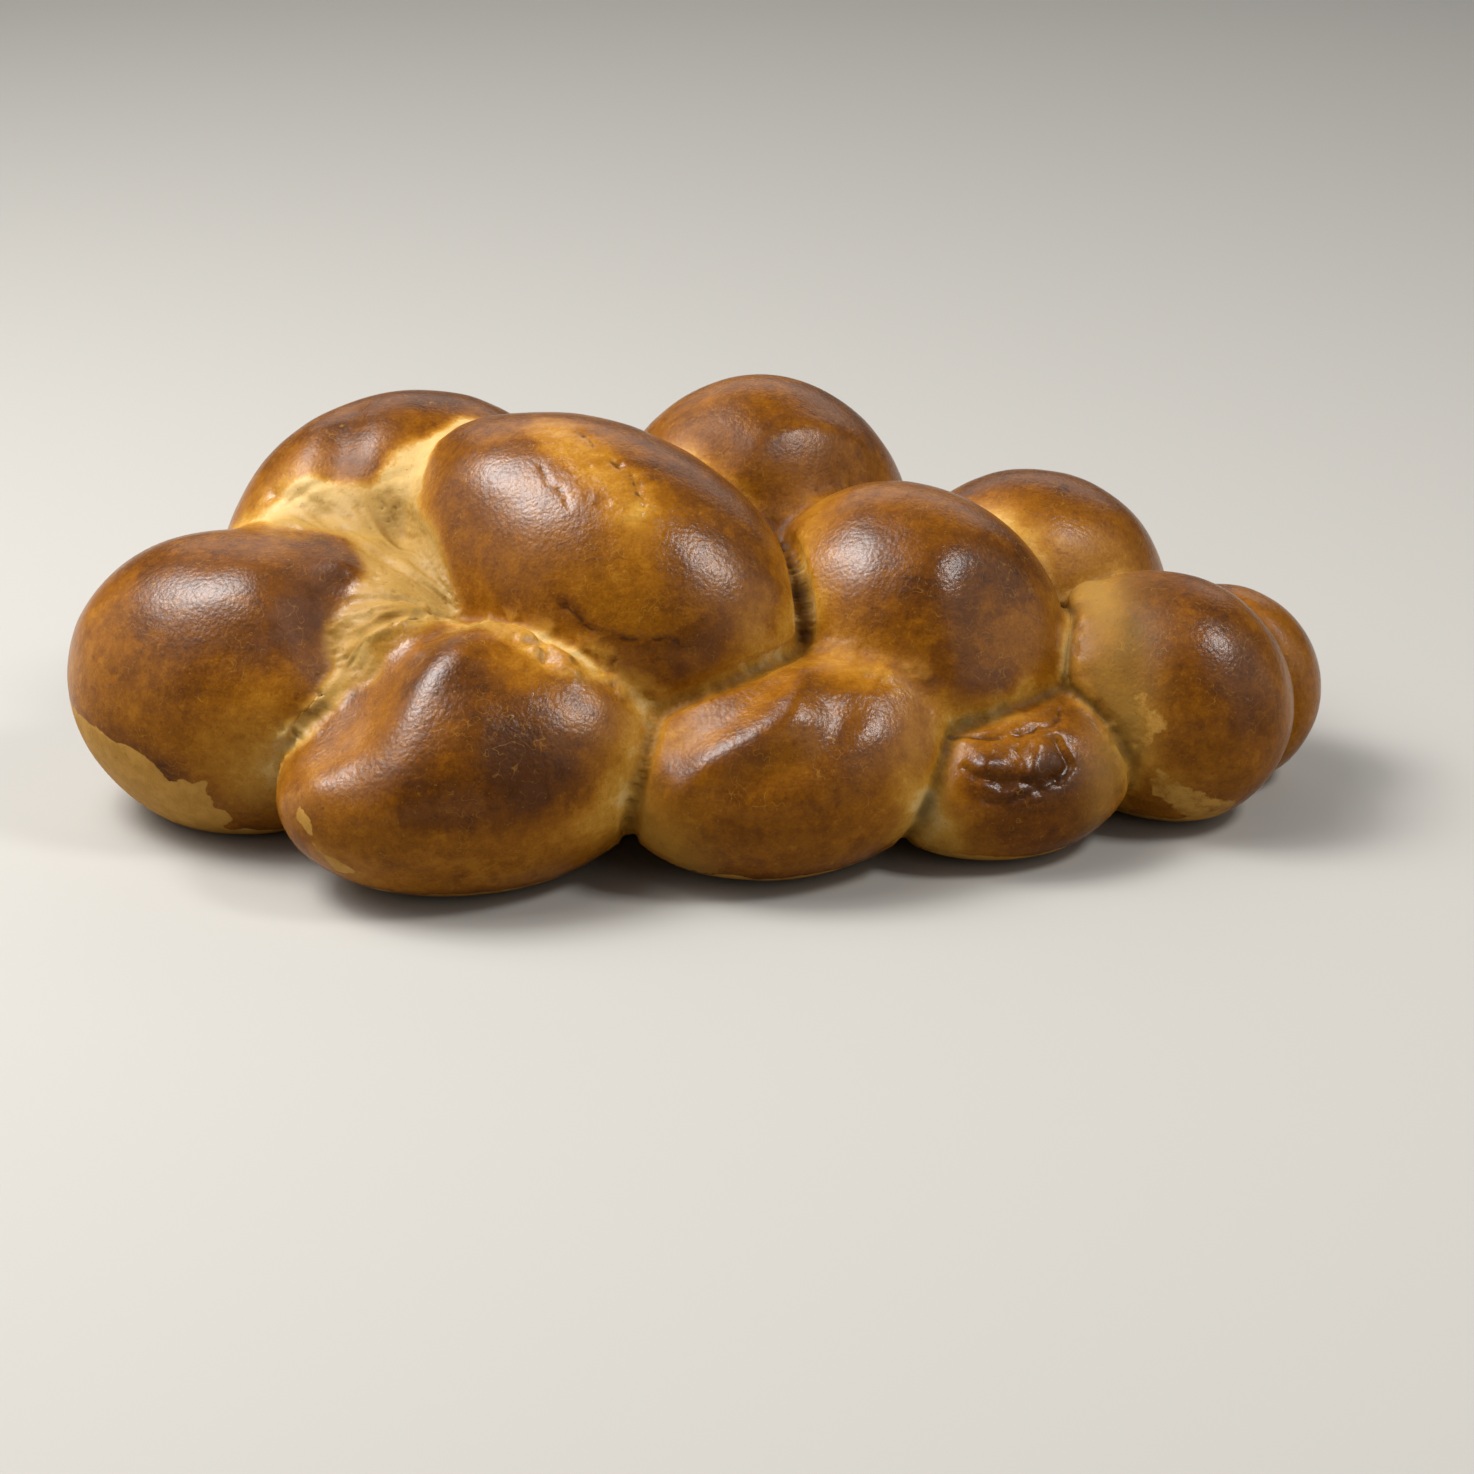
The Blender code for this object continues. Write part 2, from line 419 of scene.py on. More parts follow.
PITS = (
    (1.8, 1.5, "front_middle", (0.45, 18)),
    (1.5, 1.3, "front_middle", (0.53, 23)),
    (0.9, 1.1, "ridge_left", (0.04, 13)),
    (1.0, 1.2, "ridge_left", (0.18, 17)),
    (0.8, 1.0, "ridge_left", (0.26, 23)),
    (0.6, 0.8, "ridge_left", (-0.33, 38)),
)

# Drawn-out crust that the wash missed: a strength, a reach, the lobe and the path.
PALE = (
    (0.80, 13.0, "neck", ((-0.10, -22), (0.10, 0), (0.36, 20), (0.45, 40), (0.32, 62))),
    (0.72, 10.0, "end", ((0.92, 40), (0.84, 66), (0.70, 86))),
    (0.90, 10.0, "back_left", ((0.20, 32), (0.00, 38), (-0.22, 50), (-0.40, 54))),
    (0.85, 10.0, "back_left", ((-0.66, 40), (-0.40, 52))),
    (0.26, 7.5, "ridge_left", ((-0.40, 10), (-0.08, 17), (0.22, 26))),
    (0.48, 6.5, "front_left", ((0.10, -14), (0.22, -2), (0.34, 12), (0.46, 24))),
    (0.14, 9.0, "front_middle", ((-0.92, 80), (-0.88, 110), (-0.72, 134))),
    (0.14, 9.0, "flank", ((-0.95, 10), (-0.60, 10), (0.00, 10), (0.60, 10), (0.95, 10))),
    (0.34, 9.0, "front_right", ((-0.88, 60), (-0.80, 92), (-0.62, 118))),
    (0.15, 8.0, "back_right", ((-0.30, 30), (0.00, 50), (0.45, 54))),
)
# Dull tan crust beside the seams, where the wash was thin.
TANS = (
    (0.80, 9.0, "flank", ((-0.95, 0), (-0.50, 0), (0.00, 0), (0.50, 0), (0.95, 0))),
    (0.50, 9.0, "front_middle", ((-0.92, 60), (-0.88, 100), (-0.72, 134))),
    (0.50, 8.0, "front_right", ((-0.86, 60), (-0.78, 92), (-0.60, 118))),
    (0.40, 8.0, "front_right", ((0.72, 60), (0.62, 100))),
    (0.40, 9.0, "end", ((0.52, 100), (0.40, 112))),
)
BEIGE = (
    (0.50, 4.2, "tail_front", ((0.16, 72), (0.28, 76))),
    (0.42, 2.6, "tail_front", ((0.26, 80), (0.27, 92))),
    (0.54, 5.6, "tail_front", ((0.40, 106), (0.52, 117), (0.68, 132), (0.77, 152))),
    (0.62, 2.8, "front_left", ((-0.93, 92), (-0.88, 112), (-0.78, 126))),
)

# How far the crust is baked beyond the usual (or short of it), with a reach, a lobe and a path. Rows marked as
# painted shade darken the crust where shade falls instead.
BAKES_AND_SHADES = (
    (0.24, 8.0, "end", ((0.42, -20), (0.58, 2), (0.60, 30), (0.48, 52))),
    (-0.20, 8.0, "end", ((0.48, 66),)),
    (0.60, 2.4, "end", ((-0.11, 103), (-0.10, 107))),
    (-0.25, 8.0, "end", ((0.35, 103), (0.46, 90))),
    (-0.16, 12.0, "end", ((-0.80, 86), (-0.50, 90), (-0.20, 92), (0.10, 92))),
    (-0.12, 13.0, "end", ((-0.63, 53), (-0.51, 35))),
    (-0.22, 13.0, "front_left", ((-0.88, 32), (-0.64, 22))),
    (0.14, 8.0, "front_left", ((0.08, 10), (0.14, 33), (0.14, 56), (0.10, 77))),
    (0.22, 9.0, "front_left", ((-0.49, 73), (-0.14, 83), (0.27, 78))),
    (-0.18, 9.0, "front_left", ((-0.78, 128), (-0.39, 126), (0.04, 123))),
    (-0.28, 9.0, "front_left", ((0.06, 7), (0.19, 20))),
    (-0.32, 7.0, "front_left", ((0.74, 60), (0.58, 90), (0.42, 107))),
    (0.28, 2.4, "front_left", ((-0.20, 118), (-0.24, 120))),
    (0.35, 2.0, "front_left", ((-0.05, 126),)),
    (-0.28, 8.0, "ridge_left", ((-0.86, 40), (-0.76, 70), (-0.50, 94))),
    (-0.20, 9.0, "ridge_left", ((-0.35, 15), (-0.01, 19), (0.29, 29))),
    (-0.12, 8.0, "ridge_left", ((0.34, 36), (0.44, 49), (0.29, 60))),
    (0.22, 2.0, "ridge_left", ((0.19, 72), (0.37, 73), (0.58, 71), (0.70, 64))),
    (0.18, 7.0, "ridge_left", ((0.46, 85), (0.69, 80), (0.79, 55))),
    (-0.28, 8.0, "ridge_left", ((0.93, -12), (0.96, 20), (0.92, 60))),
    (-0.20, 6.0, "ridge_left", ((0.20, 100), (0.60, 100))),
    (-0.28, 8.0, "ridge_right", ((-0.78, 20), (-0.58, 55), (-0.32, 72))),
    (0.22, 5.0, "ridge_right", ((-0.11, 76), (0.35, 73), (0.65, 63), (0.87, 52))),
    (-0.26, 6.0, "ridge_right", ((0.26, 96), (0.60, 90), (0.84, 80))),
    (-0.04, 9.0, "back_middle", ((-0.32, 58), (0.01, 62), (0.35, 58))),
    (-0.20, 9.0, "back_middle", ((-0.74, 10), (-0.60, 30))),
    (-0.08, 9.0, "back_right", ((-0.29, 26), (-0.01, 46), (0.50, 50))),
    (0.05, 9.0, "tail_front", ((-0.48, 45), (-0.32, 60), (-0.12, 78))),
    (0.14, 3.0, "tail_front", ((-0.20, 36), (-0.06, 50), (0.10, 66))),
    (0.14, 9.0, "tail_front", ((0.46, 21), (0.83, 33))),
    (-0.12, 8.0, "tail_front", ((0.50, 100), (0.80, 95))),
    # painted shade on the front middle lobe's left side, which the lobes beside it shade
    (0.10, 8.0, "front_middle", ((-0.84, 30), (-0.80, 60))),
    (0.18, 4.0, "front_middle", ((-0.65, 55), (-0.37, 47), (-0.09, 37), (0.10, 16))),
    (-0.16, 6.0, "front_middle", ((-0.62, 34), (-0.32, 28), (-0.06, 18))),
    (-0.24, 9.0, "front_middle", ((0.66, 57), (0.55, 82))),
    # darker low on the back middle lobe's front, above the ridge: mostly painted shade, partly browning
    (0.26, 11.0, "back_middle", ((-0.24, 66), (0.10, 70), (0.40, 66))),
    (0.16, 14.0, "ridge_right", ((-0.10, 40), (0.30, 46))),
    (0.14, 12.0, "back_right", ((-0.20, 0), (0.30, 10))),
    # darker low on the front right lobe's front: mostly painted shade, partly browning
    (0.14, 10.0, "front_right", ((-0.10, 96), (0.30, 100))),
    # painted shade: the flank lies in the shadow of the ridge lobe beside it
    (0.10, 9.0, "flank", ((-0.40, 0), (0.60, 0))),
    (0.10, 10.0, "front_right", ((-0.10, 70), (0.30, 80))),
    (-0.12, 12.0, "front_left", ((0.44, 40), (0.60, 60))),
    (-0.02, 8.0, "front_middle", ((-0.50, 121), (-0.23, 117), (0.17, 113))),
    (-0.26, 8.0, "front_middle", ((0.36, 4), (0.62, 20))),
    (0.30, 6.0, "front_right", ((-0.29, 56), (0.05, 66), (0.32, 58))),
    (-0.22, 7.0, "front_right", ((-0.62, 100), (-0.74, 60))),
    (-0.12, 12.0, "back_left", ((0.36, 30), (-0.10, 52))),
    (0.14, 10.0, "back_left", ((-0.30, 4), (0.00, 6), (0.30, 8), (0.55, 8))),
    (-0.16, 11.0, "back_left", ((-0.70, 26), (-0.56, 48))),
    (-0.22, 10.0, "back_left", ((-0.86, 18), (-0.68, 24))),
)
# Dull crust that has no wash on it, though it is baked.
MATTES = (
    (1.0, 10.0, "flank", ((-0.95, 10), (-0.60, 10), (0.00, 10), (0.60, 10), (0.95, 10))),
    (0.9, 12.0, "front_middle", ((-0.66, 14), (-0.84, 30), (-0.88, 60), (-0.84, 100))),
    (0.6, 8.0, "end", ((0.44, 96), (0.30, 108))),
    (1.0, 9.0, "end", ((0.52, 14), (0.64, 40), (0.60, 62))),
    (0.6, 8.0, "back_right", ((-0.29, 26), (0.00, 48), (0.50, 52))),
    (0.5, 7.0, "ridge_right", ((0.26, 98), (0.60, 94))),
    (0.8, 13.0, "back_left", ((-0.50, 30), (-0.30, 44))),
    (0.9, 11.0, "back_middle", ((-0.40, 52), (0.00, 56), (0.40, 52))),
    (0.9, 11.0, "back_middle", ((-0.50, 18), (-0.34, 36))),
    (0.8, 11.0, "tail_front", ((-0.40, 0), (-0.16, 20), (-0.10, 40))),
)
# Painted sheen: purplish brown patches that stand in for the broad reflection of the lamps on the glossy wash.
PAINTED_SHEENS = (
    (0.9, 7.0, "end", ((0.56, 8), (0.56, 32), (0.46, 48))),
    (0.5, 7.0, "front_left", ((-0.49, 73), (-0.14, 83), (0.27, 78))),
    (0.8, 6.0, "ridge_left", ((0.46, 84), (0.69, 80), (0.80, 56))),
    (0.5, 10.0, "ridge_left", ((-0.50, 50), (-0.20, 66))),
    (0.8, 5.0, "ridge_right", ((0.20, 76), (0.60, 66), (0.86, 54))),
    (0.6, 6.0, "tail_front", ((0.80, 60), (0.90, 84))),
    (0.6, 5.0, "front_middle", ((-0.65, 56), (-0.37, 48), (-0.09, 38))),
    (0.5, 6.0, "back_middle", ((0.10, 22), (0.55, 24))),
)

# Where the wash ran down over the unwashed underside.
DRIP = ((-0.11, 103), (-0.10, 107))

# The drawn-out crust fans out from this place, across this direction.
FAN_TIP = np.array((-0.073, -0.021, 0.063))
FAN_ACROSS = np.array((0.37, 0.74, 0.56))
FAN_COUNT = 24.0


def wandered(points, size, amount, seed):
    return points + amount * np.stack(
        [layered(points, size, seed + 10 * axis, 2) for axis in range(3)], axis=1
    )


def total_of(points, table):
    """Sum of a table's soft spots."""
    total = np.zeros(len(points))
    for strength, reach, name, spots in table:
        total += strength * nearness(points, name, spots, reach)
    return total


def patches(points, table):
    """The strongest of a table's patches at each point, with a firm edge."""
    mask = np.zeros(len(points))
    for strength, reach, name, spots in table:
        away = path_distance(points, trace(name, spots))
        mask = np.maximum(mask, strength * ease_between(1.25, 0.75, away / (reach * MM)))
    return mask


def meeting(first, second, column, other_column=None):
    """A column of the table of meetings, for each point's two nearest lobes."""
    grid = np.full((len(NAMES), len(NAMES)), MEET_USUAL[column])
    for (one, other), row in MEETS.items():
        one, other = NAMES.index(one), NAMES.index(other)
        grid[one, other] = row[column]
        grid[other, one] = row[column if other_column is None else other_column]
    return grid[first, second]


def two_nearest(points):
    """Each point's nearest two strands' lobes, and how much further the second is."""
    distances = lobe_distances(points)
    for part, whole in SAME_STRAND.items():
        part, whole = NAMES.index(part), NAMES.index(whole)
        distances[:, whole] = np.minimum(distances[:, whole], distances[:, part])
        distances[:, part] = 9.0
    order = np.argsort(distances, axis=1)[:, :2]
    rows = np.arange(len(points))
    gap = distances[rows, order[:, 1]] - distances[rows, order[:, 0]]
    return order[:, 0], order[:, 1], gap


def ridged(noise, sharp):
    """Thin grooves where the noise crosses zero: 0 in a groove, 1 between grooves."""
    return 1.0 - np.exp(-np.abs(noise) * sharp)


def fan_lines(points):
    """Grooves that run out from the fan's tip, and its broader folds."""
    away = points - FAN_TIP
    out = -away[:, 0]
    across = away @ FAN_ACROSS
    angle = np.arctan2(across, out) + 0.10 * layered(points, 0.020, 62, 2)
    reach = np.hypot(out, across)
    place = np.stack([angle * FAN_COUNT, reach / 0.016, np.zeros(len(points))], axis=1)
    fine = ridged(value_noise(place, 61), 7.0)
    broad = value_noise(place * (0.42, 0.6, 1.0), 67)
    return fine, broad


def strand_lines(points, nearest):
    """Thin ridges that run along each strand, from -1 to 1."""
    lines = np.zeros(len(points))
    for index, (centre, turn, half) in enumerate(PARTS):
        here = nearest == index
        local = (points[here] - centre) @ turn
        angle = np.arctan2(local[:, 1], local[:, 2])
        place = np.stack([angle * half[1] / 0.0022, local[:, 0] / 0.018, np.zeros(len(local))], axis=1)
        lines[here] = value_noise(place, 63)
    return lines


shift = plait_shift()
packed_points, corners, starts = fine_skin()
pairs = edge_pairs(corners, starts)
raw = packed_points - shift

nearest, second, _ = two_nearest(raw)
softness = relaxed(meeting(nearest, second, SOFT), pairs, 30) + total_of(raw, DRAWN)
softness *= 1.0 + 0.35 * layered(raw, 0.030, 3, 2)
skin = relaxed(laid_on_field(raw, softness * MM), pairs, 1, 0.4)
normals = relaxed(quad_normals(skin, corners), pairs, 6)
normals /= np.linalg.norm(normals, axis=1, keepdims=True)

nearest, second, crease = two_nearest(skin)
crease = relaxed(crease, pairs, 4)
reach, dark, tear = (
    relaxed(meeting(nearest, second, column), pairs, 16) for column in (REACH, DARK, TEAR)
)
lightness = relaxed(meeting(nearest, second, LIGHT, OTHER_LIGHT), pairs, 3)
ragged = wandered(skin, 0.012, 0.0035, 5)
finely = wandered(wandered(skin, 0.010, 0.0040, 43), 0.0028, 0.0016, 41)
lifted = ease_between(0.0005, 0.004, skin[:, 2])

pale = patches(ragged, PALE)
beige = patches(finely, BEIGE)
line_height = 0.0250 + 0.31 * np.maximum(0.0, -0.147 - skin[:, 0])
line_height += 0.0030 * layered(skin, 0.012, 11) + 0.0015 * layered(skin, 0.003, 12)
line_height -= 0.0045 * nearness(skin, "end", DRIP, 3.2)
end_under = ease_between(line_height + 0.0008, line_height - 0.0008, skin[:, 2])
end_under *= (nearest == NAMES.index("end")) * ease_between(-0.139, -0.142, finely[:, 0])
back_line = 0.014 + 0.006 * layered(skin, 0.020, 15, 2) + 0.002 * layered(skin, 0.004, 16)
back_under = ease_between(back_line + 0.0008, back_line - 0.0008, skin[:, 2])
back_under *= ease_between(0.30, 0.50, normals[:, 1])
other_under = ease_between(0.0065, 0.0040, skin[:, 2] + 0.003 * layered(skin, 0.008, 14))
beige = np.maximum(np.maximum(beige, end_under), np.maximum(0.7 * back_under, 0.7 * other_under))
light = 1.0 - ease_between(0.0, 1.0, crease / (reach * MM) + 0.55 * layered(skin, 0.016, 90, 4, 0.6))
light *= lightness * (1.0 + 0.7 * layered(skin, 0.028, 92, 2))
# painted shade: the crease is darkened in the colour, where shade falls
crease_shade = dark * (1.0 - ease_between(0.0, 0.0032, crease + 0.0010 * layered(skin, 0.004, 95)))
torn = tear * (1.0 - ease_between(0.002, 0.0075, crease + 0.003 * layered(skin, 0.007, 33)))

height = 0.0010 * layered(skin, 0.045, 21, 2)
height += 0.00022 * layered(skin, 0.011, 22, 2) * lifted
fan_fine, fan_broad = fan_lines(skin)
fan = ease_between(0.052, 0.040, np.linalg.norm(skin - (FAN_TIP + (-0.030, 0.002, -0.002)), axis=1))
fan *= np.clip(1.4 * pale, 0.0, 1.0)
height += (0.0007 * (fan_fine - 1.0) + 0.0010 * fan_broad) * fan
lines = strand_lines(skin, nearest)
height += 0.00030 * lines * pale * (1.0 - fan) * lifted
flakes = layered(skin, 0.0050, 71, 3)
height += (0.0012 * ease_between(-0.05, 0.12, flakes) - 0.0006) * torn * lifted
height -= 0.0026 * dark**2 * (1.0 - ease_between(0.0, 0.0050, crease)) * lifted
swayed = wandered(skin, 0.012, 0.0012, 51)
for depth, width, name, spots in FOLDS:
    height += depth * MM * nearness(swayed, name, spots, width)
# painted shade: cracks and pits are darkened in the colour, where shade falls in them
crack_shade = np.zeros(len(skin))
swayed = wandered(skin, 0.006, 0.0022, 55)
for depth, width, name, spots in CRACKS:
    line = nearness(swayed, name, spots, width)
    crack_shade = np.maximum(crack_shade, line)
    height += depth * MM * line
for depth, width, name, place in PITS:
    pit = nearness(skin, name, (place,), width)
    crack_shade = np.maximum(crack_shade, 0.7 * pit)
    height -= depth * MM * pit
blister = nearness(ragged, "ridge_left", ((-0.30, 14), (0.00, 20), (0.26, 28)), 10.0)
height += 0.0004 * (ridged(layered(skin, 0.0036, 81, 2), 5.0) - 0.6) * blister
pucker = nearness(skin, "front_right", ((-0.25, 45), (0.05, 55), (0.36, 52)), 8.0)
height += 0.0005 * layered(skin, 0.005, 84, 2) * pucker

carved = skin + normals * height[:, None]
healed = (1.0 - ease_between(0.001, 0.003, crease))[:, None]
carved += healed * (relaxed(carved, pairs, 2) - carved)
facing = quad_normals(carved, corners)
bake_and_shade = 0.58 + 0.10 * ease_between(-0.2, 1.0, facing[:, 2]) + 0.10 * ease_between(0.008, 0.030, crease)
bake_and_shade += total_of(ragged, BAKES_AND_SHADES) - light - 0.62 * pale + 0.10 * layered(skin, 0.035, 77, 2)
pooled = np.exp(-(((skin[:, 2] - line_height - 0.0016) / 0.0014) ** 2))
bake_and_shade += 0.10 * pooled * (nearest == NAMES.index("end")) * ease_between(-0.105, -0.124, skin[:, 0])
bake_and_shade -= 0.20 * torn * ease_between(-0.1, 0.2, flakes)
# painted sheen: the lamps' broad reflection, painted into the colour
painted_sheen = np.clip(total_of(ragged, PAINTED_SHEENS), 0.0, 1.0)
matte = np.clip(total_of(ragged, MATTES), 0.0, 1.0)
drawn = np.maximum(fan, np.clip(total_of(ragged, TANS), 0.0, 0.8))
matte = np.maximum(matte, 1.0 - ease_between(0.001, 0.0055, crease))
gloss = 0.10 + 0.40 * ease_between(0.0, 0.55, facing[:, 2])
gloss *= 1.0 - 0.6 * matte

carved[:, 2] = np.maximum(carved[:, 2], 0.0)
placed = carved + shift
box_low, box_high = (np.array(corner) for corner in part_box("loaf"))
placed = np.clip(placed, box_low - 0.002, box_high + 0.002)
placed[:, 2] = np.maximum(placed[:, 2], 0.0)


# ---------------------------------------------------------------- the loaf's mesh

def make_loaf():
    mesh = bpy.data.meshes.new("crust_skin")
    mesh.vertices.add(len(placed))
    mesh.vertices.foreach_set("co", placed.astype(np.float32).ravel())
    mesh.loops.add(len(corners))
    mesh.loops.foreach_set("vertex_index", corners.astype(np.int32))
    mesh.polygons.add(len(starts))
    mesh.polygons.foreach_set("loop_start", starts.astype(np.int32))
    mesh.update(calc_edges=True)
    for name, values in (
        ("bake_and_shade", bake_and_shade),
        ("pale", pale),
        ("beige", beige),
        ("torn", torn),
        ("flakes", flakes),
        ("crease_shade", crease_shade),
        ("crack_shade", crack_shade),
        ("painted_sheen", painted_sheen),
        ("matte", matte),
        ("drawn", drawn),
        ("gloss", gloss),
        # the fan's grooves, for painted shade in them
        ("fan", (1.0 - fan_fine) * fan),
        ("lines", lines),
    ):
        layer = mesh.attributes.new(name, "FLOAT", "POINT")
        layer.data.foreach_set("value", values.astype(np.float32))
    shape = bmesh.new()
    shape.from_mesh(mesh)
    flat = [face for face in shape.faces if all(corner.co.z < 1e-6 for corner in face.verts)]
    rim = {corner for face in flat for corner in face.verts}
    inner = [corner for corner in rim if all(face.calc_center_median().z < 1e-6 for face in corner.link_faces)]
    if inner:
        bmesh.ops.dissolve_verts(shape, verts=inner)
    bmesh.ops.triangulate(shape, faces=[face for face in shape.faces if len(face.verts) > 4])
    shape.to_mesh(mesh)
    shape.free()
    made = bpy.data.objects.new("crust", mesh)
    bpy.context.scene.collection.objects.link(made)
    triangles = sum(len(face.vertices) - 2 for face in mesh.polygons)
    thin = made.modifiers.new("thin", "DECIMATE")
    thin.ratio = min(1.0, TRIANGLES / triangles)
    bpy.context.view_layer.update()
    shown = made.evaluated_get(bpy.context.evaluated_depsgraph_get())
    made.data = bpy.data.meshes.new_from_object(shown)
    made.modifiers.clear()
    bpy.data.meshes.remove(mesh)
    made.data.shade_smooth()
    print("loaf triangles", triangles, sum(len(face.vertices) - 2 for face in made.data.polygons))
    return made


# ---------------------------------------------------------------- material

class Tree:
    """Short calls for building a node tree."""

    def __init__(self, material):
        self.tree = material.node_tree
        self.tree.nodes.clear()

    def add(self, kind, **settings):
        node = self.tree.nodes.new(kind)
        for key, value in settings.items():
            setattr(node, key, value)
        return node

    def put(self, socket, value):
        if isinstance(value, bpy.types.NodeSocket):
            self.tree.links.new(value, socket)
        elif isinstance(value, bpy.types.Node):
            self.tree.links.new(value.outputs[0], socket)
        else:
            socket.default_value = value

    def attribute(self, name):
        return self.add("ShaderNodeAttribute", attribute_name=name).outputs["Fac"]

    def math(self, operation, first, second=0.0, third=0.0, clamp=False):
        node = self.add("ShaderNodeMath", operation=operation, use_clamp=clamp)
        for socket, value in zip(node.inputs, (first, second, third)):
            self.put(socket, value)
        return node.outputs[0]

    def mix(self, share, first, second, blend="MIX"):
        node = self.add("ShaderNodeMix", data_type="RGBA", blend_type=blend)
        self.put(node.inputs[0], share)
        self.put(node.inputs[6], first)
        self.put(node.inputs[7], second)
        return node.outputs[2]

    def noise(self, where, scale, detail=3.0, rough=0.55, stretch=None):
        if stretch:
            moved = self.add("ShaderNodeMapping")
            self.put(moved.inputs["Vector"], where)
            moved.inputs["Scale"].default_value = stretch
            where = moved.outputs[0]
        node = self.add("ShaderNodeTexNoise")
        self.put(node.inputs["Vector"], where)
        node.inputs["Scale"].default_value = scale
        node.inputs["Detail"].default_value = detail
        node.inputs["Roughness"].default_value = rough
        return node.outputs[0]

    def cells(self, where, scale, feature="F1"):
        node = self.add("ShaderNodeTexVoronoi", feature=feature)
        self.put(node.inputs["Vector"], where)
        node.inputs["Scale"].default_value = scale
        return node.outputs["Distance"]

    def between(self, value, low, high, to_low=0.0, to_high=1.0):
        node = self.add("ShaderNodeMapRange", interpolation_type="SMOOTHSTEP")
        self.put(node.inputs[0], value)
        for socket, number in zip(node.inputs[1:5], (low, high, to_low, to_high)):
            self.put(socket, number)
        return node.outputs[0]

    def plus(self, value, noise, share):
        """The value with a share of a noise centred on zero."""
        return self.math("MULTIPLY_ADD", self.math("SUBTRACT", noise, 0.5), share, value)

    def warped(self, where, scale, amount):
        """The place, pushed about by a coloured noise."""
        node = self.add("ShaderNodeTexNoise")
        self.put(node.inputs["Vector"], where)
        node.inputs["Scale"].default_value = scale
        push = self.add("ShaderNodeVectorMath", operation="MULTIPLY_ADD")
        self.put(push.inputs[0], node.outputs["Color"])
        push.inputs[1].default_value = (amount, amount, amount)
        self.put(push.inputs[2], where)
        return push.outputs[0]

    def ramp(self, value, steps):
        node = self.add("ShaderNodeValToRGB")
        self.put(node.inputs[0], value)
        ramp = node.color_ramp
        while len(ramp.elements) < len(steps):
            ramp.elements.new(0.5)
        for element, (place, colour) in zip(ramp.elements, steps):
            element.position = place
            element.color = (*colour, 1.0)
        return node.outputs[0]


CRUST_STEPS = (
    (0.00, (0.600, 0.405, 0.150)),
    (0.20, (0.480, 0.240, 0.032)),
    (0.40, (0.345, 0.140, 0.010)),
    (0.60, (0.238, 0.081, 0.0028)),
    (0.80, (0.140, 0.043, 0.0022)),
    (1.00, (0.065, 0.019, 0.0020)),
)
DRAWN_CRUST = (0.350, 0.200, 0.042, 1.0)
TORN_CRUST = (0.46, 0.235, 0.036, 1.0)
BEIGE_CRUST = (0.45, 0.236, 0.046, 1.0)
BEIGE_SHADE = (0.36, 0.178, 0.028, 1.0)
# the painted sheen's purplish brown
PAINTED_SHEEN_TONE = (0.155, 0.058, 0.022, 1.0)
# painted shade for the creases
PAINTED_CREASE_SHADE = (0.050, 0.024, 0.004, 1.0)
# dark brown for painted shade in cracks and pits, and for the crust's burnt specks
CRACK_SHADOW_AND_SPECK = (0.055, 0.017, 0.003, 1.0)
# painted shade for the fan's grooves
PAINTED_GROOVE_SHADE = (0.260, 0.120, 0.018, 1.0)


